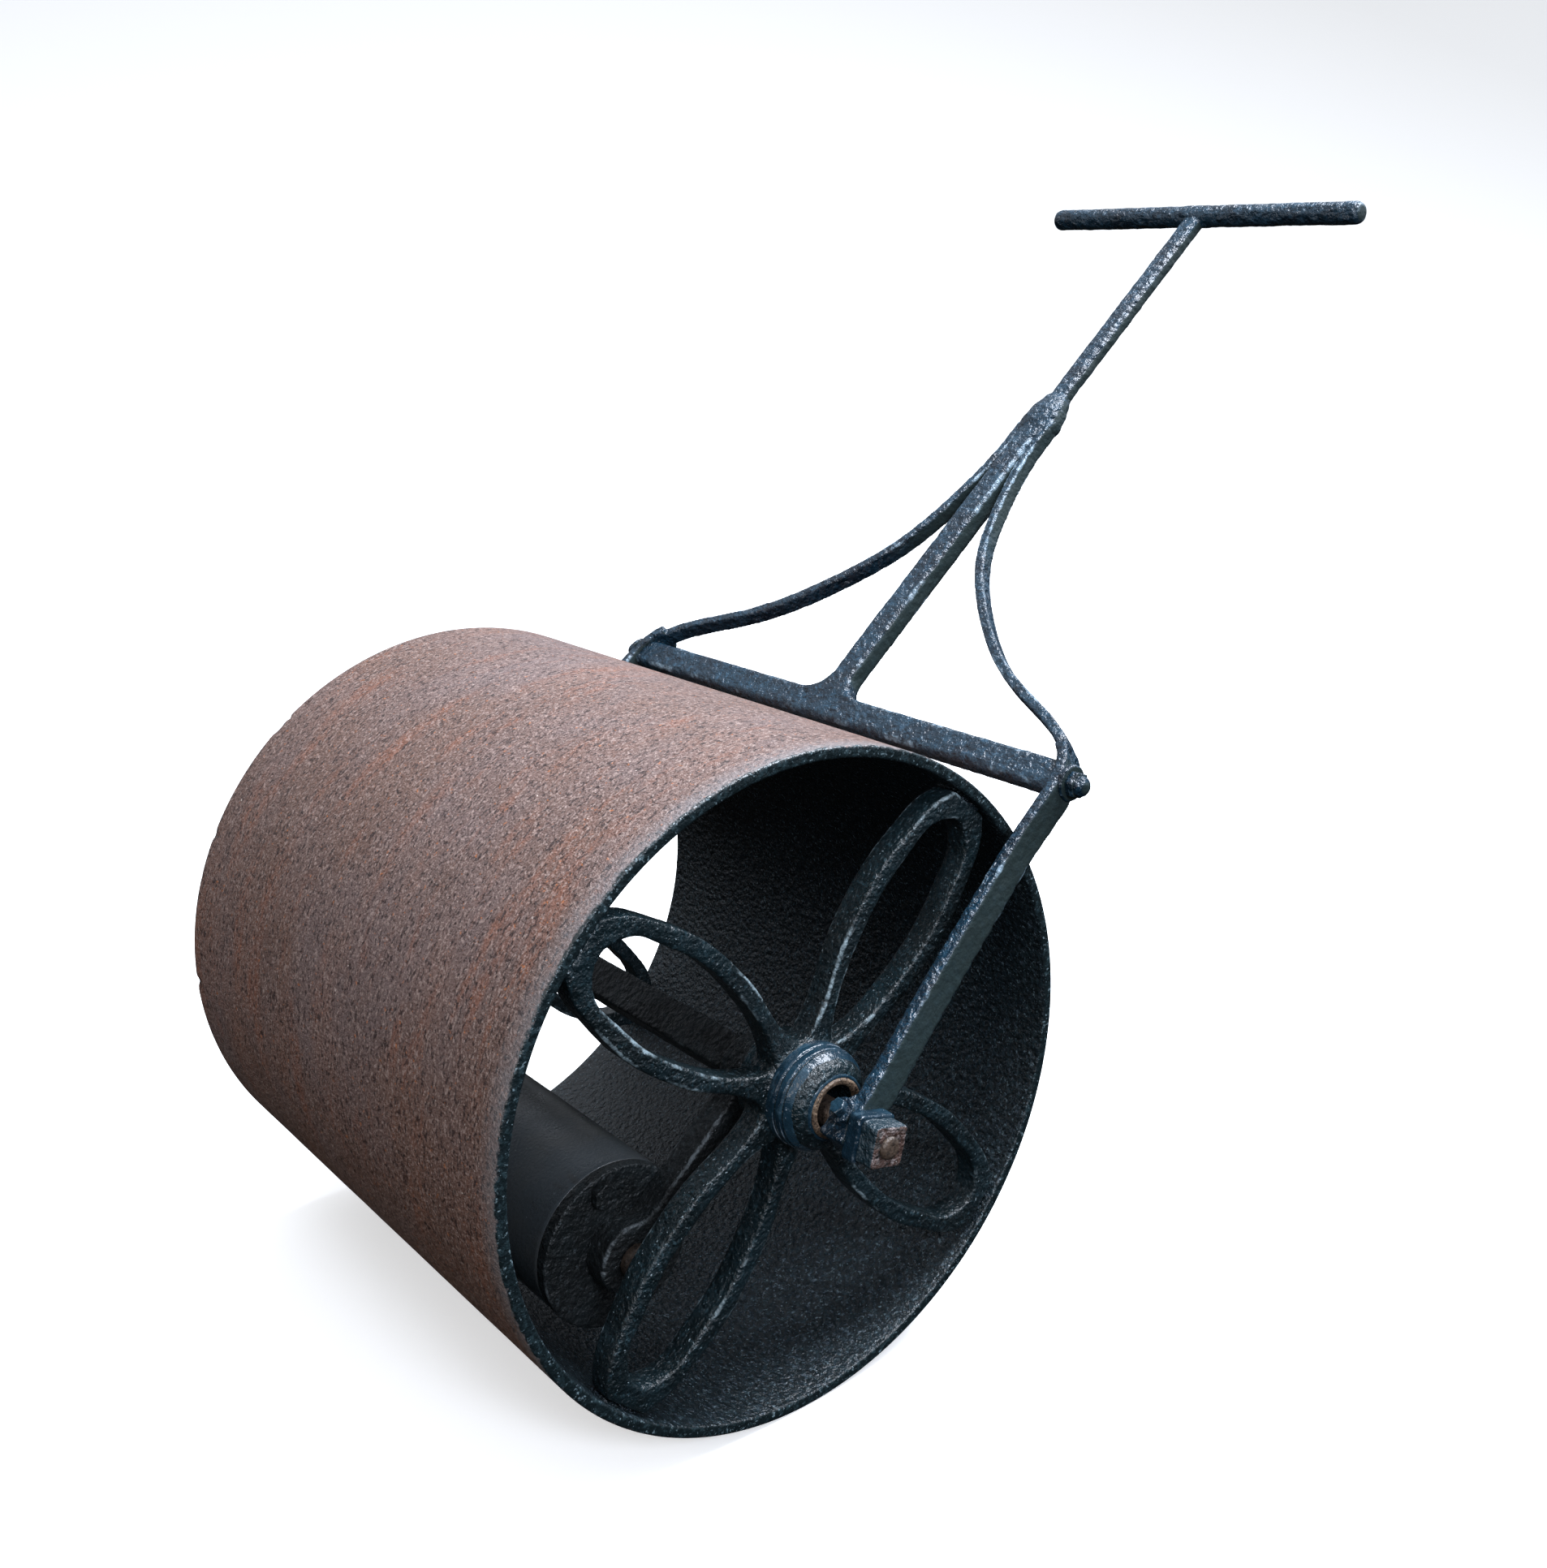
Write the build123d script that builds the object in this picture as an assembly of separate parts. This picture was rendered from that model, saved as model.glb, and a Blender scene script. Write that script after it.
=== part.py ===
from build123d import *
import math
import os

# A balance-weight garden roller. An open cast drum turns on two four-petal spoke castings,
# whose worn hubs sit on a fixed axle. The axle carries a forged T handle outside the drum and
# a balance weight inside it, so that the handle stands up by itself.
# X runs along the axle and "near" is its +X end. The handle leans towards +Y and Z is up.
# The origin is on the ground under the middle of the drum. All sizes are in millimetres.

# Drum shell
roller_diameter = 508.0
roller_width = 508.0
shell_wall = 9.0
shell_edge_radius = 2.0
seat_pad_height = 3.0
seat_pad_margin = 1.5
seat_pad_setback = 4.0

# Spoke castings
petal_count = 4
petal_phase_deg = 41.2
petal_half_width = 46.0
petal_opening_half_width = 33.0
petal_opening_tip_half_width = 4.0
petal_tip_half_width = 19.5
petal_tip_thickness = 16.0
petal_root_gap = 1.0
spider_depth = 22.0
spider_inset = 4.0
hub_radius = 37.0
hub_web_radius = 39.5
hub_length = 68.0
hub_proud = 28.0
hub_bore_radius = 17.0
hub_dome_length = 16.0
hub_face_radius = 21.0
hub_step = 2.0

# Axle
journal_radius = 10.5
journal_gap = 0.1
axle_square = 28.0
thread_radius = 8.0
thread_end_round = 2.0
hub_side_gap = 6.0

# Handle: distances are from the axle along the handle, widths across it, depths through it
handle_lean_deg = 48.9
crossbar_drum_gap = 38.5
crossbar_width = 23.0
crossbar_depth = 13.0
crossbar_corner = 1.5
side_bar_width = 26.0
side_bar_thick_low = 11.5
side_bar_thick_high = 8.5
side_bar_splay = 24.0
stay_depth = 15.0
stay_thickness = 8.5
stay_seat_gap = 0.7
lower_shaft_width = 21.0
lower_shaft_depth = 14.5
lower_shaft_length = 339.5
shaft_root_radius = 26.0
upper_shaft_width = 20.0
upper_shaft_depth = 13.0
upper_shaft_length = 302.0
shaft_corner = 3.0
grip_radius = 10.3
grip_length = 374.0
grip_end_round = 6.0
grip_boss_radius = 10.9
grip_boss_length = 28.0
knot_length = 56.0
knot_half_width = 20.5
knot_half_depth = 13.5

# End block, its nut and its lock screw
block_thickness = 22.0
block_below = 16.0
block_above = 8.0
block_slope = 12.0
plate_thickness = 12.0
plate_size = 33.0
nut_size = 29.0
nut_thickness = 15.0
nut_turn_deg = -15.0
nut_corner = 3.0
axle_end_proud = 3.0
lock_screw_radius = 4.0
lock_screw_along = 3.0
lock_head_radius = 6.0
lock_head_height = 6.0
lock_collar_radius = 9.5
lock_collar_height = 6.0

# Corner stud, washer and nut
stud_radius = 6.0
stud_gap = 0.2
corner_washer_radius = 14.0
corner_washer_thickness = 4.5
corner_nut_radius = 10.5
corner_nut_thickness = 7.0
stud_proud = 5.0

# Balance weight
weight_swing_deg = 48.0
weight_diameter = 122.0
weight_cap_thickness = 10.0
weight_core_radius = 40.8
weight_wall_gap = 27.0
weight_arm_width = 22.0
weight_arm_thickness = 22.0
weight_arm_gap = 14.0
weight_eye_radius = 25.0
weight_boss_radius = 27.0
weight_arm_fillet = 18.0
tie_rod_radius = 9.0
tie_head_radius = 12.5
tie_head_height = 7.0
cap_bolt_circle = 48.0
cap_bolt_angle_deg = 117.0
cap_bolt_across = 17.0
cap_bolt_head = 7.0
cap_bolt_radius = 5.0
cap_bolt_length = 26.0
fit_gap = 0.1

# Sizes that follow from the ones above
rim_x = roller_width / 2
roller_radius = roller_diameter / 2
inner_radius = roller_radius - shell_wall
axle_drop = hub_bore_radius - journal_radius - journal_gap
axle_height = roller_radius - axle_drop
petal_tip_radius = inner_radius - seat_pad_height
spider_front_x = rim_x - spider_inset
hub_face_x = rim_x + hub_proud
hub_back_x = hub_face_x - hub_length
block_inner_x = hub_face_x + hub_side_gap
block_outer_x = block_inner_x + block_thickness
nut_inner_x = block_outer_x + plate_thickness
axle_end_x = nut_inner_x + nut_thickness + axle_end_proud
arm_foot_x = block_outer_x - side_bar_thick_low / 2
arm_head_x = arm_foot_x - side_bar_splay
crossbar_distance = roller_radius + crossbar_drum_gap + crossbar_width / 2
shaft_foot = crossbar_distance + crossbar_width / 2
knot_seat = shaft_foot + lower_shaft_length
grip_distance = knot_seat + upper_shaft_length
stay_seat_x = lower_shaft_width / 2 + stay_seat_gap + stay_thickness / 2
weight_radius = weight_diameter / 2
weight_distance = inner_radius - weight_radius - weight_wall_gap
weight_arm_outer_x = hub_back_x - weight_arm_gap
weight_arm_x = weight_arm_outer_x - weight_arm_thickness
weight_length = 2 * weight_arm_x

# Outlines as shares of a petal's or stay's own length and width
petal_outer_shares = [(0.025, 0.554), (0.13, 0.65), (0.25, 0.837), (0.425, 0.978),
                      (0.625, 1.0), (0.80, 0.85), (0.95, 0.60)]
petal_inner_shares = [(0.12, 0.48), (0.27, 0.77), (0.45, 0.95), (0.62, 1.0), (0.80, 0.86),
                      (0.94, 0.60)]
arm_curve_shares = [(0.25, 0.71), (0.48, 0.42), (0.67, 0.21), (0.86, 0.08)]
stay_curve_shares = [(0.045, 0.975), (0.091, 0.911), (0.205, 0.606), (0.38, 0.305),
                     (0.55, 0.13), (0.72, 0.048), (0.88, 0.006)]
side_bar_samples = 36

handle_lean = math.radians(handle_lean_deg)
weight_swing = math.radians(weight_swing_deg)
axle_centre = Vector(0, 0, axle_height)
drum_centre = Vector(0, 0, roller_radius)

# Local x is the world's X, local y runs up the handle or down the weight's arm
handle_plane = Plane(
    origin=axle_centre,
    x_dir=(1, 0, 0),
    z_dir=(0, -math.cos(handle_lean), math.sin(handle_lean)),
)
weight_plane = Plane(
    origin=axle_centre,
    x_dir=(1, 0, 0),
    z_dir=(0, math.cos(weight_swing), -math.sin(weight_swing)),
)


def rod(radius, x_low, x_high, centre):
    """A round bar along X between two stations."""
    plane = Plane(origin=centre + Vector(x_low, 0, 0), x_dir=(0, 1, 0), z_dir=(1, 0, 0))
    return extrude(plane * Circle(radius), x_high - x_low)


def through(face, plane, depth):
    """A face drawn on a plane, made solid equally to both sides of it."""
    return extrude(plane * face, depth / 2, both=True)


def other_side(solid):
    """The same piece at the far end of the axle."""
    return mirror(solid, about=Plane.YZ)


def ends_of(name, solid):
    """The near piece and its mirrored twin under their node names."""
    return {"near_" + name: solid, "far_" + name: other_side(solid)}


def petal_frame(number):
    """Radial direction in local x, across the petal in local y, along the axle in local z."""
    turn = math.radians(petal_phase_deg + number * 360 / petal_count)
    return Plane(origin=drum_centre, x_dir=(0, math.sin(turn), math.cos(turn)), z_dir=(1, 0, 0))


def drum_shell():
    tube = rod(roller_radius, -rim_x, rim_x, drum_centre)
    tube -= rod(inner_radius, -rim_x, rim_x, drum_centre)
    tube = fillet(tube.edges().filter_by(GeomType.CIRCLE), shell_edge_radius)
    pad_top = inner_radius + shell_wall / 2
    pad_width = 2 * (petal_tip_half_width - seat_pad_margin)
    pad = Box(pad_top - petal_tip_radius, pad_width, spider_depth)
    pad_x = spider_front_x - seat_pad_setback - spider_depth / 2
    for number in range(petal_count):
        for side in (-1, 1):
            station = Pos((petal_tip_radius + pad_top) / 2, 0, side * pad_x)
            tube += petal_frame(number) * station * pad
    return tube


def petal_loop():
    """One petal's outline with its opening, drawn from the hub's centre to its flat tip."""
    length = petal_tip_radius - hub_radius
    valley = hub_web_radius * math.sqrt(0.5)
    side = [(valley, valley)]
    side += [(hub_radius + u * length, v * petal_half_width) for u, v in petal_outer_shares]
    side += [(petal_tip_radius, petal_tip_half_width)]
    edge = Spline(*side, tangents=[(1, -1), (0.62, -0.78)], tangent_scalars=[1.0, 0.25])
    tip = Line(edge @ 1, (petal_tip_radius, -petal_tip_half_width))
    root = Polyline((valley, valley), (0, 0), (valley, -valley))
    outline = make_face(Curve() + [edge, mirror(edge, about=Plane.XZ), tip, root])
    start = hub_radius + petal_root_gap
    reach = petal_tip_radius - petal_tip_thickness - start
    bow = [(start, 0)]
    bow += [(start + u * reach, v * petal_opening_half_width) for u, v in petal_inner_shares]
    bow += [(start + reach, petal_opening_tip_half_width)]
    lip = Spline(*bow, tangents=[(1, 1), (0, -1)], tangent_scalars=[1.0, 0.4])
    flat = Line(lip @ 1, (start + reach, -petal_opening_tip_half_width))
    opening = make_face(Curve() + [lip, flat, mirror(lip, about=Plane.XZ)])
    return outline - opening


def hub_barrel():
    """The stepped barrel and its domed face, with the worn bore."""
    step_x = hub_face_x - hub_dome_length
    profile = Curve() + [
        Polyline(
            (hub_back_x, hub_bore_radius),
            (hub_back_x, hub_radius),
            (step_x, hub_radius),
            (step_x + hub_step, hub_radius - hub_step),
        ),
        Spline(
            (step_x + hub_step, hub_radius - hub_step),
            (hub_face_x, hub_face_radius),
            tangents=[(1, -0.1), (0.1, -1)],
        ),
        Polyline(
            (hub_face_x, hub_face_radius),
            (hub_face_x, hub_bore_radius),
            (hub_back_x, hub_bore_radius),
        ),
    ]
    section = Plane.XZ * make_face(profile)
    return Pos(drum_centre) * revolve(section, Axis.X, 360)


def near_spider():
    casting = hub_barrel()
    arms = [
        petal_frame(number) * Pos(0, 0, spider_front_x - spider_depth)
        * extrude(petal_loop(), spider_depth)
        for number in range(petal_count)
    ]
    casting = casting.fuse(*arms).clean()
    return casting - rod(hub_bore_radius, hub_back_x, hub_face_x, drum_centre)


def axle():
    """Square in the middle for the weight's arms, round in the hubs, threaded at the ends."""
    square = extrude(
        Plane(origin=axle_centre, x_dir=weight_plane.y_dir, z_dir=(1, 0, 0))
        * Rectangle(axle_square, axle_square),
        weight_arm_outer_x,
        both=True,
    )
    bar = square + rod(journal_radius, -block_outer_x, block_outer_x, axle_centre)
    for side in (-1, 1):
        thread = rod(thread_radius, block_outer_x, axle_end_x, axle_centre)
        end = thread.faces().sort_by(Axis.X)[-1]
        thread = fillet(end.edges(), thread_end_round)
        bar += thread if side > 0 else other_side(thread)
    return bar


def side_bar_line():
    """The middle line of a side bar in the handle's plane, from the block to the knot."""
    rise = crossbar_distance
    points = [(arm_foot_x, block_above)]
    points += [(arm_head_x + out * side_bar_splay, up * rise) for up, out in arm_curve_shares]
    points += [(arm_head_x, rise)]
    run = knot_seat - rise
    span = arm_head_x - stay_seat_x
    points += [(stay_seat_x + out * span, rise + up * run) for up, out in stay_curve_shares]
    points += [(stay_seat_x, knot_seat)]
    return Spline(*points, tangents=[(-0.06, 1), (0, 1)])


def ribbon(line, start, end, thick_start, thick_end):
    """A strip either side of a line, whose thickness changes evenly along it."""
    sides = ([], [])
    for step in range(side_bar_samples + 1):
        share = step / side_bar_samples
        place = start + (end - start) * share
        half = (thick_start + (thick_end - thick_start) * share) / 2
        along = line % place
        across = Vector(along.Y, -along.X) * half
        sides[0].append(line @ place + across)
        sides[1].append(line @ place - across)
    outer = Spline(*sides[0])
    inner = Spline(*sides[1])
    caps = [Line(sides[0][0], sides[1][0]), Line(sides[0][-1], sides[1][-1])]
    return make_face(Curve() + [outer, inner] + caps)


def share_at_height(line, height):
    """Where along the line it first reaches a distance from the axle."""
    low, high = 0.0, 1.0
    for _ in range(30):
        middle = (low + high) / 2
        if (line @ middle).Y < height:
            low = middle
        else:
            high = middle
    return low


def near_side_bar():
    """A flat bar up to the crossbar, bent in there and drawn down to a stay."""
    line = side_bar_line()
    bend = share_at_height(line, crossbar_distance + side_bar_width)
    arm = through(
        ribbon(line, 0, bend, side_bar_thick_low, side_bar_thick_high),
        handle_plane,
        side_bar_width,
    )
    stay = through(
        ribbon(line, bend - 0.02, 1, side_bar_thick_high, stay_thickness), handle_plane, stay_depth
    )
    block = Polyline(
        (block_outer_x, -block_below),
        (block_outer_x, block_above + 1),
        (arm_foot_x - side_bar_thick_low / 2, block_above + block_slope),
        (block_inner_x, block_above),
        (block_inner_x, -block_below),
        (block_outer_x, -block_below),
    )
    bar = arm + stay + through(make_face(block), handle_plane, side_bar_width)
    bar -= rod(journal_radius + fit_gap, block_inner_x, block_outer_x, axle_centre)
    bar -= stud_hole()
    return bar - lock_screw_hole()


def at_corner(radius, x_low, x_high):
    """A round bar along X on the crossbar's line."""
    centre = handle_plane.from_local_coords(Vector(0, crossbar_distance, 0))
    return rod(radius, x_low, x_high, centre)


def stud_hole():
    return at_corner(stud_radius + stud_gap, arm_head_x - side_bar_width, block_outer_x)


def side_face_x(face):
    """Inner (-1) or outer (+1) face of the side bar where the crossbar meets it."""
    line = side_bar_line()
    share = share_at_height(line, crossbar_distance)
    bend = share_at_height(line, crossbar_distance + side_bar_width)
    fade = share / bend
    thick = side_bar_thick_low + (side_bar_thick_high - side_bar_thick_low) * fade
    return (line @ share).X + face * thick / 2


def crossbar(side_bars):
    """A rectangular bar whose ends are cut to the side bars, with a turned stud at each end."""
    half = arm_head_x
    centre = Pos(0, crossbar_distance, 0)
    body = Box(2 * half, crossbar_width, crossbar_depth)
    body = chamfer(body.edges().filter_by(Axis.X), crossbar_corner)
    bar = handle_plane * centre * body
    for side_bar in side_bars:
        bar -= side_bar
    bar -= at_corner(crossbar_width, half - side_bar_thick_high / 4, block_outer_x)
    bar -= at_corner(crossbar_width, -block_outer_x, side_bar_thick_high / 4 - half)
    reach = side_face_x(1) + corner_washer_thickness + corner_nut_thickness + stud_proud
    for side in (-1, 1):
        stud = at_corner(stud_radius, half - side_bar_thick_low, reach)
        stud = fillet(stud.faces().sort_by(Axis.X)[-1].edges(), stud_radius * 0.6)
        bar += stud if side > 0 else other_side(stud)
    return bar


def lower_shaft():
    """The bar from the crossbar to the knot, flared where it is forged to the crossbar."""
    half = lower_shaft_width / 2
    flare = shaft_root_radius
    foot = make_face(
        Curve()
        + [
            Line((-half - flare, shaft_foot), (half + flare, shaft_foot)),
            TangentArc((half + flare, shaft_foot), (half, shaft_foot + flare), tangent=(-1, 0)),
            Line((half, shaft_foot + flare), (half, knot_seat)),
            Line((half, knot_seat), (-half, knot_seat)),
            Line((-half, knot_seat), (-half, shaft_foot + flare)),
            TangentArc((-half - flare, shaft_foot), (-half, shaft_foot + flare), tangent=(1, 0)),
        ]
    )
    return through(foot, handle_plane, lower_shaft_depth)


def upper_shaft():
    """The bar from the knot to the grip, saddled round the grip."""
    length = grip_distance - knot_seat
    bar = Box(upper_shaft_width, length, upper_shaft_depth)
    bar = chamfer(bar.edges().filter_by(Axis.Y), shaft_corner)
    return handle_plane * Pos(0, knot_seat + length / 2, 0) * bar - t_grip()


def t_grip():
    """The round hand bar, thickened where the shaft is forged to it."""
    centre = handle_plane.from_local_coords(Vector(0, grip_distance, 0))
    bar = rod(grip_radius, -grip_length / 2, grip_length / 2, centre)
    bar = fillet(bar.edges().filter_by(GeomType.CIRCLE), grip_end_round)
    return bar + rod(grip_boss_radius, -grip_boss_length / 2, grip_boss_length / 2, centre)


def forged_knot(members):
    """The lump in which both stays and both shafts are forged together."""
    low = knot_seat - knot_length / 3
    high = knot_seat + knot_length * 2 / 3
    waist = (low + high) / 2
    neck = upper_shaft_width / 2 + 1
    front = [(knot_half_width - 1, low), (knot_half_width, waist - 5), (neck, high)]
    side = [(knot_half_depth - 2, low), (knot_half_depth, waist), (upper_shaft_depth / 2 + 1, high)]
    lump = through(lump_outline(front), handle_plane, 4 * knot_half_depth)
    side_plane = Plane(origin=axle_centre, x_dir=handle_plane.z_dir, z_dir=(-1, 0, 0))
    lump &= through(lump_outline(side), side_plane, 4 * knot_half_width)
    for member in members:
        lump -= member
    return lump


def lump_outline(points):
    """A symmetric outline bulging through three points on its right side."""
    edge = Spline(*points)
    foot = Line((-points[0][0], points[0][1]), points[0])
    crown = Line((-points[-1][0], points[-1][1]), points[-1])
    return make_face(Curve() + [edge, mirror(edge, about=Plane.YZ), foot, crown])


def near_axle_plate():
    """The thick square washer between the end block and the nut."""
    return square_on_axle(plate_size, plate_thickness, block_outer_x, thread_radius + fit_gap)


def near_axle_nut():
    return square_on_axle(nut_size, nut_thickness, nut_inner_x, thread_radius + fit_gap)


def square_on_axle(size, thickness, x_low, hole_radius):
    turn = math.radians(nut_turn_deg)
    plane = Plane(
        origin=axle_centre + Vector(x_low, 0, 0),
        x_dir=(0, math.cos(turn), math.sin(turn)),
        z_dir=(1, 0, 0),
    )
    block = extrude(plane * RectangleRounded(size, size, nut_corner), thickness)
    return block - rod(hole_radius, x_low, x_low + thickness, axle_centre)


def lock_screw_axis(height):
    """A plane across the lock screw, at a height above the middle of the handle."""
    middle = (block_inner_x + block_outer_x) / 2
    point = handle_plane.from_local_coords(Vector(middle, lock_screw_along, height))
    return Plane(origin=point, x_dir=(1, 0, 0), z_dir=handle_plane.z_dir)


def lock_screw_hole():
    depth = side_bar_width
    return extrude(lock_screw_axis(0) * Circle(lock_screw_radius + fit_gap), depth)


def near_lock_screw():
    """The screw that locks the end block to the axle, with its round lock nut."""
    top = side_bar_width / 2
    start = math.sqrt(journal_radius**2 - lock_screw_along**2)
    shank_length = top + lock_collar_height - start
    shank = extrude(lock_screw_axis(start) * Circle(lock_screw_radius), shank_length)
    shank -= rod(journal_radius, block_inner_x, block_outer_x, axle_centre)
    head_foot = lock_screw_axis(top + lock_collar_height)
    head = extrude(head_foot * RegularPolygon(lock_head_radius, 6), lock_head_height)
    return shank + head


def near_lock_nut():
    foot = lock_screw_axis(side_bar_width / 2)
    ring = Circle(lock_collar_radius) - Circle(lock_screw_radius + fit_gap)
    return extrude(foot * ring, lock_collar_height)


def near_corner_washer():
    low = side_face_x(1)
    ring = at_corner(corner_washer_radius, low, low + corner_washer_thickness)
    ring = fillet(ring.faces().sort_by(Axis.X)[-1].edges(), corner_washer_thickness / 3)
    return ring - near_side_bar() - at_corner(stud_radius + fit_gap, low - 1, block_outer_x)


def near_corner_nut():
    low = side_face_x(1) + corner_washer_thickness
    centre = handle_plane.from_local_coords(Vector(low, crossbar_distance, 0))
    plane = Plane(origin=centre, x_dir=handle_plane.y_dir, z_dir=(1, 0, 0))
    nut = extrude(plane * RegularPolygon(corner_nut_radius, 6), corner_nut_thickness)
    return nut - at_corner(stud_radius + fit_gap, low - 1, block_outer_x)


def weight_centre():
    return weight_plane.from_local_coords(Vector(0, weight_distance, 0))


def weight_body():
    """The cored iron cylinder. Its core radius sets the balance against the handle."""
    half = weight_length / 2 - weight_cap_thickness
    body = rod(weight_radius, -half, half, weight_centre())
    body -= rod(weight_core_radius, -half, half, weight_centre())
    return body - cap_bolt_holes()


def near_weight_cap():
    high = weight_length / 2
    cap = rod(weight_radius, high - weight_cap_thickness, high, weight_centre())
    cap -= rod(tie_rod_radius + fit_gap, high - weight_cap_thickness, high, weight_centre())
    return cap - cap_bolt_holes()


def cap_bolt_places():
    """Planes on the near cap's face, one for each of its two bolts."""
    places = []
    for half_turn in (0, 180):
        turn = weight_swing + math.radians(cap_bolt_angle_deg + half_turn)
        offset = Vector(0, -math.sin(turn), -math.cos(turn)) * cap_bolt_circle
        origin = weight_centre() + Vector(weight_length / 2, 0, 0) + offset
        places.append(Plane(origin=origin, x_dir=(0, 0, 1), z_dir=(1, 0, 0)))
    return places


def cap_bolt_holes():
    holes = Part()
    for place in cap_bolt_places():
        hole = extrude(place * Circle(cap_bolt_radius + fit_gap), -cap_bolt_length)
        holes += [hole, other_side(hole)]
    return holes


def near_cap_bolts():
    """The two hexagon bolts in one cap, as separate solids."""
    bolts = []
    for place in cap_bolt_places():
        shank = extrude(place * Circle(cap_bolt_radius), -cap_bolt_length)
        head = extrude(place * RegularPolygon(cap_bolt_across / 2, 6, major_radius=False), cap_bolt_head)
        bolts.append(shank + head)
    return Compound(children=bolts)


def near_weight_arm():
    """The bar from the axle's square down to the weight, with an eye at each end."""
    plane = Plane(
        origin=axle_centre + Vector(weight_arm_x, 0, 0),
        x_dir=weight_plane.y_dir,
        z_dir=(1, 0, 0),
    )
    bar = Pos(weight_distance / 2, 0) * Rectangle(weight_distance, weight_arm_width)
    eye = Circle(weight_eye_radius)
    boss = Pos(weight_distance, 0) * Circle(weight_boss_radius)
    face = bar + eye + boss
    corners = face.vertices().filter_by(lambda v: abs(abs(v.Y) - weight_arm_width / 2) < 0.01)
    face = fillet(corners, weight_arm_fillet)
    face -= Rectangle(axle_square + 2 * fit_gap, axle_square + 2 * fit_gap)
    face -= Pos(weight_distance, 0) * Circle(tie_rod_radius + fit_gap)
    return extrude(plane * face, weight_arm_thickness)


def weight_tie_rod():
    """The rod that hangs the weight from its two arms, headed over at both ends."""
    bar = rod(tie_rod_radius, -weight_arm_outer_x, weight_arm_outer_x, weight_centre())
    head = rod(
        tie_head_radius, weight_arm_outer_x, weight_arm_outer_x + tie_head_height, weight_centre()
    )
    head = fillet(head.faces().sort_by(Axis.X)[-1].edges(), tie_head_height / 3)
    return bar + head + other_side(head)


def pieces():
    """Every node by name."""
    near_bar = near_side_bar()
    side_bars = [near_bar, other_side(near_bar)]
    low_bar = lower_shaft()
    high_bar = upper_shaft()
    found = {
        "drum_shell": drum_shell(),
        "axle": axle(),
        "crossbar": crossbar(side_bars),
        "lower_shaft": low_bar,
        "upper_shaft": high_bar,
        "t_grip": t_grip(),
        "forged_knot": forged_knot(side_bars + [low_bar, high_bar]),
        "weight_body": weight_body(),
        "weight_tie_rod": weight_tie_rod(),
    }
    found |= ends_of("spider", near_spider())
    found |= ends_of("side_bar", near_bar)
    found |= ends_of("axle_plate", near_axle_plate())
    found |= ends_of("axle_nut", near_axle_nut())
    found |= ends_of("lock_screw", near_lock_screw())
    found |= ends_of("lock_nut", near_lock_nut())
    found |= ends_of("corner_washer", near_corner_washer())
    found |= ends_of("corner_nut", near_corner_nut())
    found |= ends_of("weight_arm", near_weight_arm())
    found |= ends_of("weight_cap", near_weight_cap())
    found |= ends_of("cap_bolts", near_cap_bolts())
    return found


os.makedirs("parts", exist_ok=True)
for node, shape in pieces().items():
    export_step(shape, f"parts/{node}.step")
print("hub journal", round(2 * journal_radius, 1), "in a bore of", round(2 * hub_bore_radius, 1))
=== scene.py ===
import math
import bmesh
import bpy
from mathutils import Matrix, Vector


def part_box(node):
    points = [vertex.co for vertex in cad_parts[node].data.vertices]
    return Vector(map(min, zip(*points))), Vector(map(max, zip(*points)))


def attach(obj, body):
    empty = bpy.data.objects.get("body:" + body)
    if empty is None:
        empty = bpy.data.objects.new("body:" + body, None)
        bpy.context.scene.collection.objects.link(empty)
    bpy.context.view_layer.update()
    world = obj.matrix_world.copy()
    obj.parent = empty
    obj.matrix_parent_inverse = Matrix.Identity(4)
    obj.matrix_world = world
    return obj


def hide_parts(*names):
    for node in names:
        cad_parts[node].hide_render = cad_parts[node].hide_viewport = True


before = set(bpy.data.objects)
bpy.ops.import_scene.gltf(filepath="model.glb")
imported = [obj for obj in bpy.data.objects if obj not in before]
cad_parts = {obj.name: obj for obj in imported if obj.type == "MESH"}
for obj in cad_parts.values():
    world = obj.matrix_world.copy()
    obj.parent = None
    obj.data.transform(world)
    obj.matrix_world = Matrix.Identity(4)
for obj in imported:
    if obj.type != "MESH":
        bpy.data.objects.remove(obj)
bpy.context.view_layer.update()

mm = 0.001
print("frame loaded,", len(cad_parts), "nodes")

# where the drum is, and the plane of the handle
drumLow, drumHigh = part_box("drum_shell")
drumRadius = (drumHigh.z - drumLow.z) / 2
drumHalf = drumHigh.x
drumCentre = (drumLow + drumHigh) / 2
axleLow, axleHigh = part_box("axle")
axleCentre = (axleLow + axleHigh) / 2
gripLow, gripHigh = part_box("t_grip")
gripCentre = (gripLow + gripHigh) / 2
upHandle = (gripCentre - axleCentre).normalized()


def linear(hexColour):
    # sRGB hex to linear RGBA
    parts = [int(hexColour[i:i + 2], 16) / 255 for i in (1, 3, 5)]
    return [c / 12.92 if c <= 0.04045 else ((c + 0.055) / 1.055) ** 2.4 for c in parts] + [1.0]


def addNode(tree, kind, inputs=None, stops=None, **settings):
    # one node with its settings, its fixed values and its links
    node = tree.nodes.new(kind)
    for key, value in settings.items():
        setattr(node, key, value)
    for key, value in (inputs or {}).items():
        if isinstance(value, bpy.types.NodeSocket):
            tree.links.new(value, node.inputs[key])
        else:
            node.inputs[key].default_value = value
    if stops:
        ramp = node.color_ramp
        while len(ramp.elements) < len(stops):
            ramp.elements.new(0.5)
        for element, (place, colour) in zip(ramp.elements, stops):
            element.position = place
            element.color = linear(colour) if isinstance(colour, str) else [colour] * 3 + [1]
    return node


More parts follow.
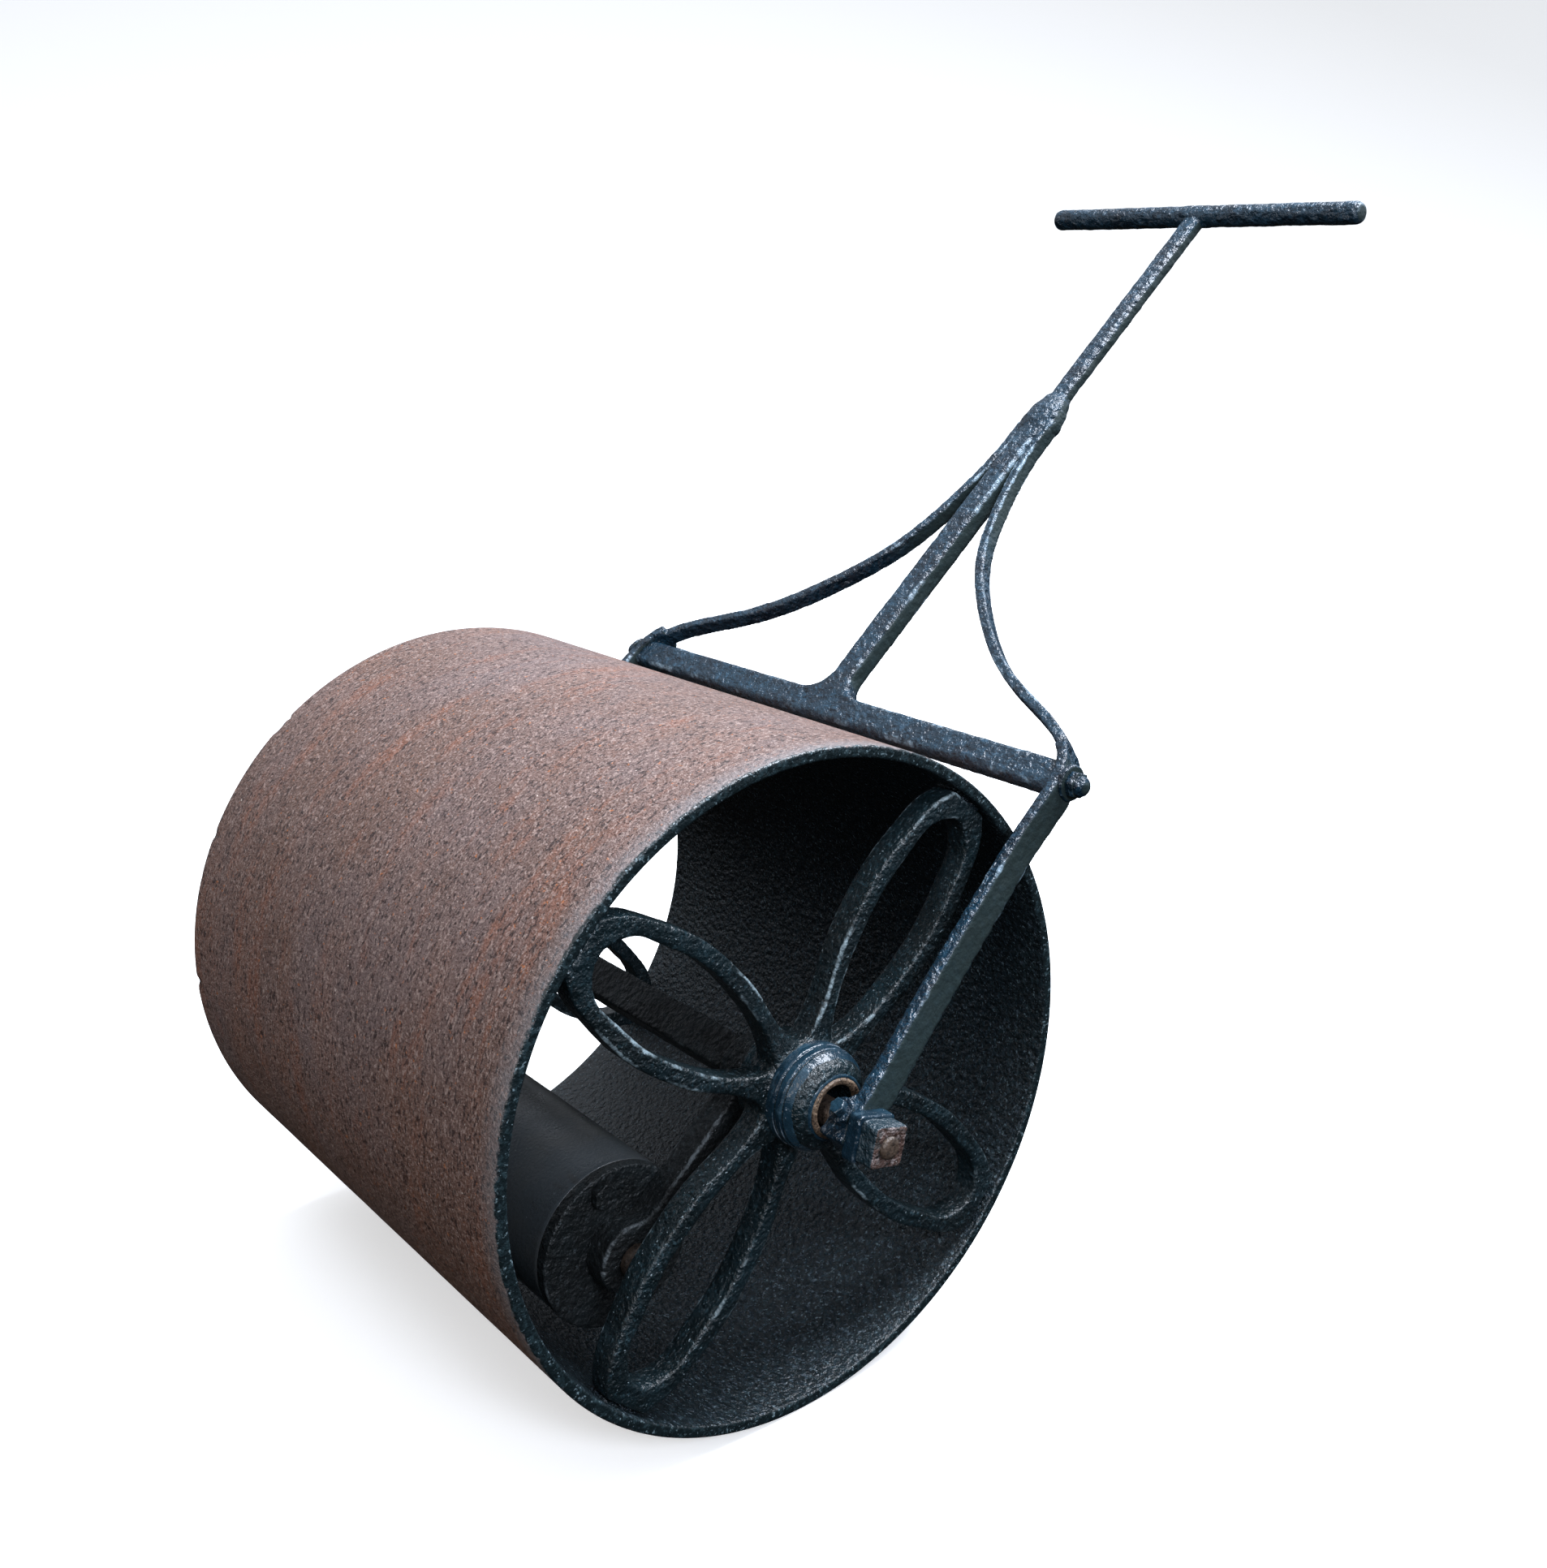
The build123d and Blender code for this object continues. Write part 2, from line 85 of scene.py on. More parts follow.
def newMaterial(name):
    material = bpy.data.materials.new(name)
    material.use_nodes = True
    tree = material.node_tree
    tree.nodes.clear()
    shader = addNode(tree, "ShaderNodeBsdfPrincipled")
    addNode(tree, "ShaderNodeOutputMaterial", {"Surface": shader.outputs[0]})
    return material, tree, shader


# ---- stage: camera, floor and light
camera = {
    "eye": (1.0951, -0.7036, 0.8297),
    "forward": (-0.7497, 0.6216, -0.2270),
    "lens": 38.59,
    "shift": (-0.0192, -0.0813),
}
cameraData = bpy.data.cameras.new("camera")
cameraData.lens = camera["lens"]
cameraData.sensor_width = 36
cameraData.sensor_fit = "AUTO"
cameraData.shift_x, cameraData.shift_y = camera["shift"]
cameraData.clip_end = 60
cameraObject = bpy.data.objects.new("camera", cameraData)
cameraObject.location = camera["eye"]
cameraObject.rotation_euler = Vector(camera["forward"]).to_track_quat("-Z", "Y").to_euler()
bpy.context.scene.collection.objects.link(cameraObject)
bpy.context.scene.camera = cameraObject
bpy.context.scene.view_settings.view_transform = "Standard"
bpy.context.scene.view_settings.look = "None"

# an open, slightly blue sky: bright overhead, little from below
studio = {
    "sky": [(0.0, "#1c1a18"), (0.48, "#2b2a29"), (0.54, "#cfd6df"), (0.75, "#e6eefa"), (1.0, "#f6f9ff")],
    "skyStrength": 0.78,
    "paper": "#f4f4f3",
    "paperGlow": 0.42,
}
lamps = {
    "overhead": {
        "place": (0.5, 1.3, 3.0), "aim": (0, 0.1, 0.3), "size": 2.0, "power": 290, "tint": "#eef4ff"},
    "windowLeft": {
        "place": (0.4, -3.0, 1.9), "aim": (0, 0, 0.3), "size": 1.6, "power": 26, "tint": "#fff4ea"},
    "drumFill": {
        "place": (2.3, -0.7, 1.7), "aim": (0.2, 0, 0.1), "size": 0.55, "power": 34, "tint": "#e8f0ff"},
}
world = bpy.data.worlds.new("studio")
world.use_nodes = True
air = world.node_tree
air.nodes.clear()
ray = addNode(air, "ShaderNodeTexCoord").outputs["Generated"]
height = addNode(air, "ShaderNodeSeparateXYZ", {0: ray}).outputs[2]
climb = addNode(air, "ShaderNodeMapRange", {0: height, 1: -1.0, 2: 1.0, 3: 0.0, 4: 1.0})
dome = addNode(air, "ShaderNodeValToRGB", {0: climb.outputs[0]}, stops=studio["sky"])
sky = addNode(air, "ShaderNodeBackground", {"Color": dome.outputs[0], "Strength": studio["skyStrength"]})
addNode(air, "ShaderNodeOutputWorld", {"Surface": sky.outputs[0]})
bpy.context.scene.world = world
for label, lamp in lamps.items():
    light = bpy.data.lights.new(label, "AREA")
    light.shape = "SQUARE"
    light.size = lamp["size"]
    light.energy = lamp["power"]
    light.color = linear(lamp["tint"])[:3]
    lightObject = bpy.data.objects.new(label, light)
    lightObject.location = lamp["place"]
    aim = Vector(lamp["aim"]) - Vector(lamp["place"])
    lightObject.rotation_euler = aim.to_track_quat("-Z", "Y").to_euler()
    bpy.context.scene.collection.objects.link(lightObject)

# a paper sweep: flat floor that curves up far behind
backdrop = {"start": -9.0, "flat": 3.2, "curve": 2.5, "top": 9.0, "reach": 12.0, "steps": 32, "sink": 0.0005}
sweepMesh = bpy.data.meshes.new("paperSweep")
sweep = bmesh.new()
rows = [(backdrop["start"], 0)]
for step in range(backdrop["steps"] + 1):
    turn = math.radians(90) * step / backdrop["steps"]
    rows.append((backdrop["flat"] + backdrop["curve"] * math.sin(turn),
                 backdrop["curve"] - backdrop["curve"] * math.cos(turn)))
rows.append((backdrop["flat"] + backdrop["curve"], backdrop["top"]))
view = Vector((camera["forward"][0], camera["forward"][1], 0)).normalized()
side = Vector((view.y, -view.x, 0))
verts = [[sweep.verts.new(view * out + side * across + Vector((0, 0, up - backdrop["sink"])))
          for across in (-backdrop["reach"], backdrop["reach"])] for out, up in rows]
for low, high in zip(verts, verts[1:]):
    sweep.faces.new((low[0], low[1], high[1], high[0])).smooth = True
sweep.to_mesh(sweepMesh)
sweep.free()
floor = bpy.data.objects.new("paperSweep", sweepMesh)
bpy.context.scene.collection.objects.link(floor)
paper, tree, shader = newMaterial("mattPaper")
shader.inputs["Base Color"].default_value = linear(studio["paper"])
shader.inputs["Roughness"].default_value = 0.9
shader.inputs["Emission Color"].default_value = linear("#ffffff")
shader.inputs["Emission Strength"].default_value = studio["paperGlow"]
floor.data.materials.append(paper)
# the paper is seen, but throws no light back up into the drum
floor.visible_diffuse = False
floor.visible_glossy = False
print("stage ready")


# ---- materials
# Each finish is a base colour, then layers of one noise each: its size in mm, how far it is drawn
# out along x, y and z, the two noise values it fades between, how strong it is, and its tint.
even = (1, 1, 1)


def layered(tree, spot, base, layers):
    colour = addNode(tree, "ShaderNodeRGB").outputs[0]
    colour.default_value = linear(base)
    for size, stretch, low, high, amount, tint in layers:
        # the shift keeps two layers from following the same noise
        drawn = addNode(tree, "ShaderNodeMapping", {
            0: spot, "Scale": [1 / s for s in stretch], "Location": (0.31 * size, 0.17 * size, 0.0)})
        noise = addNode(tree, "ShaderNodeTexNoise", {
            "Vector": drawn.outputs[0], "Scale": 1 / (size * mm), "Detail": 4.0, "Roughness": 0.6})
        mask = addNode(tree, "ShaderNodeMapRange", {
            0: noise.outputs[0], 1: low, 2: high, 3: 0.0, 4: amount})
        mixed = addNode(tree, "ShaderNodeMix", {
            0: mask.outputs[0], 6: colour, 7: linear(tint)}, data_type="RGBA")
        colour = mixed.outputs[2]
    return colour


# Old grey cast iron, rolled smooth and rusted outdoors: mauve-brown, close dark pits with paler
# tops between them, rust dragged round the drum, and dark gloss paint run over from the rim.
rust = {
    "base": "#62493f",
    "layers": [
        (170.0, even, 0.40, 0.62, 0.70, "#675857"),
        (60.0, (1, 3, 3), 0.50, 0.70, 0.45, "#7c5644"),
        (22.0, (1, 5, 5), 0.54, 0.70, 0.62, "#7e4a31"),
        (7.0, (1, 2, 2), 0.56, 0.70, 0.40, "#523a34"),
        (2.2, (1, 1.6, 1.6), 0.53, 0.60, 0.65, "#9c8880"),  # pale tops
        (2.6, (1, 2.0, 2.0), 0.45, 0.40, 0.90, "#240f0b"),  # dark pits
        (4.0, even, 0.665, 0.68, 0.80, "#a8622f"),  # orange chips
        (3.0, even, 0.705, 0.72, 0.80, "#ddd2c8"),  # white flecks
    ],
    "rimBase": "#131d20",
    "rimLayers": [(5.0, even, 0.50, 0.64, 0.8, "#2a3a3f"), (3.0, even, 0.60, 0.68, 0.70, "#7f949c")],
    "wallBase": "#07090d",
    "wallLayers": [(40.0, even, 0.45, 0.65, 0.6, "#10151a"), (4.6, even, 0.48, 0.60, 0.75, "#28343f"),
                   # palest specks on the inner wall: partly sand-cast grain, partly painted glints
                   (3.6, even, 0.58, 0.67, 0.65, "#7f8f9e")],
    # where rust gives way to paint, from the axis or from the middle, and how far the edge wanders
    "outside": (drumRadius - 2.4 * mm, drumRadius - 1.2 * mm),
    "rim": (drumRadius - 11 * mm, drumRadius - 8 * mm),
    "bare": (drumHalf + 5.0 * mm, drumHalf + 3.6 * mm),
    "bareWander": 12 * mm,
    "band": (drumHalf - 8 * mm, drumHalf + 16 * mm),
    "bandWander": 30 * mm,
    "bandTint": "#7c8084",
    "bandStrength": 0.5,
    "wanderSize": 1 / 110,
    "treadRough": 0.44,
    "paintRough": 0.26,
    # pits of 2.3 mm and cast sand of 4.8 mm, both drawn deeper than they are so that they show
    "pits": {"Scale": 430.0, "Detail": 4.0, "Roughness": 0.6},
    "pitDepth": 2.3 * mm,
    "sand": {"Scale": 210.0, "Detail": 3.0, "Roughness": 0.6},
    "sandDepth": 8.0 * mm,
    "rimSand": 0.3,
}


def rustedTread():
    material, tree, shader = newMaterial("rustedCastIronTread")
    spot = addNode(tree, "ShaderNodeTexCoord").outputs["Object"]
    tread = layered(tree, spot, rust["base"], rust["layers"])
    rim = layered(tree, spot, rust["rimBase"], rust["rimLayers"])
    wall = layered(tree, spot, rust["wallBase"], rust["wallLayers"])
    # distance from the drum's axis and from its middle
    off = addNode(tree, "ShaderNodeVectorMath", {0: spot, 1: drumCentre}, operation="SUBTRACT")
    flat = addNode(tree, "ShaderNodeVectorMath", {0: off.outputs[0], 1: (0, 1, 1)}, operation="MULTIPLY")
    radius = addNode(tree, "ShaderNodeVectorMath", {
        0: flat.outputs[0]}, operation="LENGTH").outputs["Value"]
    along = addNode(tree, "ShaderNodeSeparateXYZ", {0: spot}).outputs[0]
    fromMiddle = addNode(tree, "ShaderNodeMath", {0: along}, operation="ABSOLUTE")
    ragged = addNode(tree, "ShaderNodeTexNoise", {
        "Vector": spot, "Scale": 1 / rust["wanderSize"], "Detail": 6.0, "Roughness": 0.75})
    wander = addNode(tree, "ShaderNodeMath", {
        0: ragged.outputs[0], 1: rust["bareWander"], 2: fromMiddle.outputs[0]}, operation="MULTIPLY_ADD")
    # splashed paint has greyed the near end of the tread
    nearBand = addNode(tree, "ShaderNodeMath", {
        0: ragged.outputs[0], 1: rust["bandWander"], 2: along}, operation="MULTIPLY_ADD")
    band = addNode(tree, "ShaderNodeMapRange", {
        0: nearBand.outputs[0], 1: rust["band"][0], 2: rust["band"][1], 3: 0.0, 4: rust["bandStrength"]})
    outside = addNode(tree, "ShaderNodeMapRange", {
        0: radius, 1: rust["outside"][0], 2: rust["outside"][1]})
    bare = addNode(tree, "ShaderNodeMapRange", {
        0: wander.outputs[0], 1: rust["bare"][0], 2: rust["bare"][1]})
    onRim = addNode(tree, "ShaderNodeMapRange", {
        0: radius, 1: rust["rim"][0], 2: rust["rim"][1]}).outputs[0]
    onTread = addNode(tree, "ShaderNodeMath", {
        0: outside.outputs[0], 1: bare.outputs[0]}, operation="MULTIPLY").outputs[0]
    banded = addNode(tree, "ShaderNodeMix", {
        0: band.outputs[0], 6: tread, 7: linear(rust["bandTint"])}, data_type="RGBA")
    inner = addNode(tree, "ShaderNodeMix", {0: onRim, 6: wall, 7: rim}, data_type="RGBA")
    whole = addNode(tree, "ShaderNodeMix", {
        0: onTread, 6: inner.outputs[2], 7: banded.outputs[2]}, data_type="RGBA")
    tree.links.new(whole.outputs[2], shader.inputs["Base Color"])
    rough = addNode(tree, "ShaderNodeMapRange", {0: onTread, 3: rust["paintRough"], 4: rust["treadRough"]})
    tree.links.new(rough.outputs[0], shader.inputs["Roughness"])
    pits = addNode(tree, "ShaderNodeTexNoise", {"Vector": spot, **rust["pits"]})
    sand = addNode(tree, "ShaderNodeTexNoise", {"Vector": spot, **rust["sand"]})
    pitted = addNode(tree, "ShaderNodeBump", {
        "Height": pits.outputs[0], "Distance": rust["pitDepth"], "Strength": 1.0})
    grit = addNode(tree, "ShaderNodeMapRange", {0: onRim, 3: 1.0, 4: rust["rimSand"]})
    gritty = addNode(tree, "ShaderNodeBump", {
        "Height": sand.outputs[0], "Distance": rust["sandDepth"], "Strength": grit.outputs[0]})
    relief = addNode(tree, "ShaderNodeMix", {
        0: onTread, 4: gritty.outputs[0], 5: pitted.outputs[0]}, data_type="VECTOR")
    tree.links.new(relief.outputs[1], shader.inputs["Normal"])
    return material


# Brushed-on gloss enamel over black iron: dark blue-green, lumpy like orange peel, specked where dust and
# bare metal show (on the forged enamel the palest specks are partly painted glints), and rubbed pale in
# broken lines along a few of its edges.
# The grain is in mm and the depth in metres. The facing tint goes by how square a face is to the
# axle: the two values it fades between, its strength and its colour.
enamel = {
    "sandCastEnamel": {
        "base": "#0c1619", "rough": 0.30, "grain": 4.5, "depth": 0.0030, "edge": 0.6, "wear": "#9aaeb6",
        "layers": [(45.0, even, 0.42, 0.62, 0.7, "#15262c"), (3.6, even, 0.56, 0.68, 0.6, "#30454d"),
                   (2.4, even, 0.65, 0.70, 0.7, "#9fb0b7")]},
    "hammeredForgingEnamel": {
        "base": "#0b1c28", "rough": 0.27, "grain": 7.0, "depth": 0.0055, "edge": 0.4, "wear": "#a3bed0",
        "facing": (0.80, 0.95, 0.85, "#2a3433"), "calm": 0.12,
        "layers": [(38.0, even, 0.42, 0.62, 0.7, "#143040"), (6.5, even, 0.50, 0.66, 0.45, "#2b4a5e"),
                   # palest specks: partly dust and bare metal, partly painted glints
                   (3.4, even, 0.65, 0.72, 0.32, "#7f9fb5")]},
    "wornHubEnamel": {
        "base": "#10232f", "rough": 0.20, "grain": 8.0, "depth": 0.0020, "edge": 0.7, "wear": "#a9b8c6",
        "layers": [(24.0, (1, 2, 2), 0.42, 0.60, 0.8, "#1e3745"),
                   (6.0, (1, 2, 2), 0.56, 0.68, 0.4, "#435d6c"), (2.8, even, 0.66, 0.72, 0.6, "#b4c0cb")]},
    "smoothWeightEnamel": {
        "base": "#3b4043", "rough": 0.30, "grain": 2.4, "depth": 0.0005, "edge": 0.3, "wear": "#5a5855",
        "layers": [(70.0, even, 0.45, 0.65, 0.6, "#494845"), (8.0, (6, 1, 1), 0.58, 0.70, 0.4, "#33302d"),
                   (2.6, even, 0.72, 0.74, 0.7, "#9aa0a5")]},
    "dustyArmEnamel": {
        "base": "#0e1213", "rough": 0.45, "grain": 5.0, "depth": 0.0035, "edge": 0.5, "wear": "#7c8488",
        "layers": [(30.0, even, 0.45, 0.62, 0.7, "#1b2224"), (4.0, even, 0.60, 0.70, 0.55, "#434c50"),
                   (2.4, even, 0.70, 0.73, 0.7, "#a2a9ad")]},
    # thick flaking rust on the nut's outer face, and paint on its sides
    "flakingNutRust": {
        "base": "#4d3a34", "rough": 0.38, "grain": 6.0, "depth": 0.0060, "edge": 0.6, "wear": "#c3b2ab",
        "facing": (0.93, 0.78, 0.94, "#122b35"),
        "layers": [(14.0, even, 0.46, 0.58, 0.6, "#5f4b44"), (9.0, even, 0.54, 0.64, 0.8, "#978b89"),
                   (6.0, even, 0.46, 0.38, 0.8, "#2c3030"), (3.0, even, 0.66, 0.71, 0.6, "#d5cbc6")]},
    # cracked brown rust round the mouth of the bore
    "crackedBoreRust": {
        "base": "#5b4a3b", "rough": 0.55, "grain": 5.0, "depth": 0.0030, "edge": 0.3, "wear": "#9a8775",
        "layers": [(9.0, even, 0.44, 0.60, 0.8, "#7a6653"),
                   (3.0, (1, 0.5, 0.5), 0.46, 0.41, 0.9, "#1c130d"),
                   (2.6, even, 0.64, 0.70, 0.6, "#a58f7b")]},
    # the axle's journal and the tie rod: rubbed brown steel
    "brownedSteel": {
        "base": "#352c26", "rough": 0.5, "grain": 3.0, "depth": 0.0014, "edge": 0.4, "wear": "#8d7b70",
        "layers": [(16.0, even, 0.42, 0.60, 0.7, "#544539"), (5.0, (1, 3, 3), 0.55, 0.68, 0.6, "#75655a"),
                   (3.0, even, 0.46, 0.38, 0.7, "#1d1714")]},
}
# where edges are rubbed bare, and how much glossier or duller a finish gets from place to place
rubbing = {"Scale": 17.0, "Detail": 5.0, "Roughness": 0.7}
rubbedPlaces = (0.53, 0.62)
rubbedLine = (0.28, 0.48)
dullPlaces = (0.35, 0.70)
glossier = 0.06
duller = 0.14


def paintedIron(name):
    look = enamel[name]
    material, tree, shader = newMaterial(name)
    spot = addNode(tree, "ShaderNodeTexCoord").outputs["Object"]
    colour = layered(tree, spot, look["base"], look["layers"])
    grain = addNode(tree, "ShaderNodeTexNoise", {
        "Vector": spot, "Scale": 1000 / look["grain"], "Detail": 3.0, "Roughness": 0.55})
    # faces square to the axle, or all the others, can have a tint of their own
    normal = addNode(tree, "ShaderNodeTexCoord").outputs["Normal"]
    square = addNode(tree, "ShaderNodeMath", {
        0: addNode(tree, "ShaderNodeSeparateXYZ", {0: normal}).outputs[0]}, operation="ABSOLUTE")
    low, high, amount, tint = look.get("facing", (0.0, 1.0, 0.0, look["base"]))
    facing = addNode(tree, "ShaderNodeMapRange", {
        0: square.outputs[0], 1: low, 2: high, 3: 0.0, 4: amount}).outputs[0]
    tinted = addNode(tree, "ShaderNodeMix", {0: facing, 6: colour, 7: linear(tint)}, data_type="RGBA")
    # edges stand out of the blurred shape, and are rubbed bare only in places
    rubbed = addNode(tree, "ShaderNodeAttribute", attribute_name="edge", attribute_type="GEOMETRY")
    where = addNode(tree, "ShaderNodeTexNoise", {"Vector": spot, **rubbing}).outputs[0]
    place = addNode(tree, "ShaderNodeMapRange", {0: where, 1: rubbedPlaces[0], 2: rubbedPlaces[1]})
    broken = addNode(tree, "ShaderNodeMath", {
        0: rubbed.outputs["Fac"], 1: grain.outputs[0]}, operation="MULTIPLY")
    line = addNode(tree, "ShaderNodeMapRange", {
        0: broken.outputs[0], 1: rubbedLine[0], 2: rubbedLine[1], 3: 0.0, 4: look["edge"]})
    wear = addNode(tree, "ShaderNodeMath", {0: line.outputs[0], 1: place.outputs[0]}, operation="MULTIPLY")
    worn = addNode(tree, "ShaderNodeMix", {
        0: wear.outputs[0], 6: tinted.outputs[2], 7: linear(look["wear"])}, data_type="RGBA")
    tree.links.new(worn.outputs[2], shader.inputs["Base Color"])
    rough = addNode(tree, "ShaderNodeMapRange", {
        0: where, 1: dullPlaces[0], 2: dullPlaces[1], 3: look["rough"] - glossier, 4: look["rough"] + duller})
    tree.links.new(rough.outputs[0], shader.inputs["Roughness"])
    # a calm finish is smoother where the facing tint is
    calm = addNode(tree, "ShaderNodeMapRange", {0: facing, 3: 1.0, 4: look.get("calm", 1.0)})
    bump = addNode(tree, "ShaderNodeBump", {
        "Height": grain.outputs[0], "Distance": look["depth"], "Strength": calm.outputs[0]})
    tree.links.new(bump.outputs[0], shader.inputs["Normal"])
    return material


treadIron = rustedTread()
finishes = [paintedIron(name) for name in enamel]
sandCast, forged, hubPaint, weightPaint, armPaint, nutRust, lipRust, brownSteel = finishes
print("materials ready")


# ---- tools for making pieces
def newTree(name, sockets):
    tree = bpy.data.node_groups.new(name, "GeometryNodeTree")
    tree.interface.new_socket("Geometry", in_out="INPUT", socket_type="NodeSocketGeometry")
    for label, kind in sockets.items():
        tree.interface.new_socket(label, in_out="INPUT", socket_type="NodeSocket" + kind)
    tree.interface.new_socket("Geometry", in_out="OUTPUT", socket_type="NodeSocketGeometry")
    start = addNode(tree, "NodeGroupInput")
    return tree, start


def endTree(tree, geometry, finish):
    real = addNode(tree, "GeometryNodeRealizeInstances", {0: geometry})
    coated = addNode(tree, "GeometryNodeSetMaterial", {"Geometry": real.outputs[0], "Material": finish})
    addNode(tree, "NodeGroupOutput", {0: coated.outputs[0]})


def useTree(piece, tree, values):
    modifier = piece.modifiers.new(tree.name, "NODES")
    modifier.node_group = tree
    for item in tree.interface.items_tree:
        if item.in_out == "INPUT" and item.name in values:
            modifier[item.identifier] = values[item.name]


edgeGain = 3500.0  # an edge that stands 0.3 mm proud of the blurred shape counts as a full one


def forgedSkin():
    # lets a smooth shape look hammered or sand-cast: dents, then grain, and an edge value for wear
    tree, start = newTree("forgedSkin", {
        "Dent Depth": "Float", "Dent Size": "Float", "Grain Depth": "Float", "Grain Size": "Float",
        "Swell": "Float", "Seed": "Float", "Finish": "Material"})
    ask = start.outputs
    place = addNode(tree, "GeometryNodeInputPosition").outputs[0]
    normal = addNode(tree, "GeometryNodeInputNormal").outputs[0]
    blurred = addNode(tree, "GeometryNodeBlurAttribute", {"Value": place, "Iterations": 3},
                      data_type="FLOAT_VECTOR")
    proud = addNode(tree, "ShaderNodeVectorMath", {0: place, 1: blurred.outputs[0]}, operation="SUBTRACT")
    edge = addNode(tree, "ShaderNodeVectorMath", {0: proud.outputs[0], 1: normal}, operation="DOT_PRODUCT")
    scaled = addNode(tree, "ShaderNodeMath", {
        0: edge.outputs["Value"], 1: edgeGain}, operation="MULTIPLY", use_clamp=True)
    kept = addNode(tree, "GeometryNodeStoreNamedAttribute", {
        "Geometry": ask["Geometry"], "Name": "edge", "Value": scaled.outputs[0]},
        data_type="FLOAT", domain="POINT")
    push = ask["Swell"]
    for depth, size in (("Dent Depth", "Dent Size"), ("Grain Depth", "Grain Size")):
        scale = addNode(tree, "ShaderNodeMath", {0: 1.0, 1: ask[size]}, operation="DIVIDE")
        noise = addNode(tree, "ShaderNodeTexNoise", {
            "Vector": place, "W": ask["Seed"], "Scale": scale.outputs[0], "Detail": 2.0},
            noise_dimensions="4D")
        centred = addNode(tree, "ShaderNodeMath", {0: noise.outputs[0], 1: 0.5}, operation="SUBTRACT")
        amount = addNode(tree, "ShaderNodeMath", {0: centred.outputs[0], 1: ask[depth]}, operation="MULTIPLY")
        push = addNode(tree, "ShaderNodeMath", {0: push, 1: amount.outputs[0]}, operation="ADD").outputs[0]
    offset = addNode(tree, "ShaderNodeVectorMath", {0: normal, "Scale": push}, operation="SCALE")
    moved = addNode(tree, "GeometryNodeSetPosition", {
        "Geometry": kept.outputs[0], "Offset": offset.outputs[0]})
    endTree(tree, moved.outputs[0], ask["Finish"])
    return tree


easingLoss = 0.3  # mm that a piece loses when its edges are eased
skinTree = forgedSkin()


def settle(piece):
    # turns the finished modifier stack into a plain mesh
    graph = bpy.context.evaluated_depsgraph_get()
    graph.update()
    made = bpy.data.meshes.new_from_object(piece.evaluated_get(graph), preserve_all_data_layers=True,
                                           depsgraph=graph)
    piece.modifiers.clear()
    piece.data = made
    for face in made.polygons:
        face.use_smooth = True
    return piece


def keep(piece, body, replaced):
    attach(piece, body)
    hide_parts(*replaced)
    print(piece.name, len(piece.data.polygons), "faces")


def cadCopy(name, sources):
    # the CAD nodes' own shapes, with their loose triangles merged
    joined = bmesh.new()
    for node in sources:
        joined.from_mesh(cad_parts[node].data)
    bmesh.ops.remove_doubles(joined, verts=joined.verts, dist=0.002 * mm)
    mesh = bpy.data.meshes.new(name)
    joined.to_mesh(mesh)
    joined.free()
    piece = bpy.data.objects.new(name, mesh)
    bpy.context.scene.collection.objects.link(piece)
    return piece


def skin(piece, look):
    # dents and grain are (depth, size) in mm
    useTree(piece, skinTree, {
        "Dent Depth": look["dents"][0] * mm, "Dent Size": look["dents"][1] * mm,
        "Grain Depth": look["grain"][0] * mm, "Grain Size": look["grain"][1] * mm,
        "Swell": look.get("swell", 0.0) * mm, "Seed": float(look["seed"]), "Finish": look["finish"]})
    return settle(piece)


def forge(name, sources, body, look):
    # a CAD shape made again in small even cells, its edges eased, then given its skin
    piece = cadCopy(name, sources)
    again = piece.modifiers.new("cells", "REMESH")
    again.mode = "VOXEL"
    again.voxel_size = look["cell"] * mm
    ease = piece.modifiers.new("ease", "SMOOTH")
    ease.factor = 0.5
    ease.iterations = look["soften"]
    skin(piece, {"swell": easingLoss, **look})
    keep(piece, body, sources)
    return piece


def lathe(name, section, centre, around):
    # a closed section, (x, radius) in mm, spun round a line along X
    mesh = bpy.data.meshes.new(name)
    verts = []
    for step in range(around):
        turn = math.tau * step / around
        verts += [(x * mm, centre.y + r * mm * math.sin(turn), centre.z + r * mm * math.cos(turn))
                  for x, r in section]
    count = len(section)
    faces = []
    for step in range(around):
        a, b = step * count, (step + 1) % around * count
        faces += [(a + k, a + (k + 1) % count, b + (k + 1) % count, b + k) for k in range(count)]
    mesh.from_pydata(verts, [], faces)
    straight = bmesh.new()
    straight.from_mesh(mesh)
    bmesh.ops.recalc_face_normals(straight, faces=straight.faces)
    straight.to_mesh(mesh)
    straight.free()
    piece = bpy.data.objects.new(name, mesh)
    bpy.context.scene.collection.objects.link(piece)
    return piece


def inCells(section, cell):
    # the same closed section with no stretch longer than the cell
    full = []
    for (x0, y0), (x1, y1) in zip(section, section[1:] + section[:1]):
        count = max(1, round(math.hypot(x1 - x0, y1 - y0) / cell))
        full += [(x0 + (x1 - x0) * k / count, y0 + (y1 - y0) * k / count) for k in range(count)]
    return full


# ---- the drum: a rounded strip swept round the axis, with a cast pad under each petal's tip
shell = {
    "Wall": 9 * mm, "Corner": 2 * mm, "Around": 480, "Cell": 5 * mm,
    "Pad Count": 4, "Pad Phase": math.pi - math.radians(41.2), "Pad Size": (9 * mm, 36 * mm, 22 * mm),
    "Pad Station": 235 * mm, "Pad Sink": 3 * mm,
    "Chip Depth": 2.2 * mm, "Chip Size": 26 * mm, "Chip Band": 7 * mm, "Chip Start": 0.64, "Chip Full": 0.70,
}
shellSkin = {"finish": treadIron, "dents": (0.5, 90), "grain": (0.0, 10), "seed": 4}


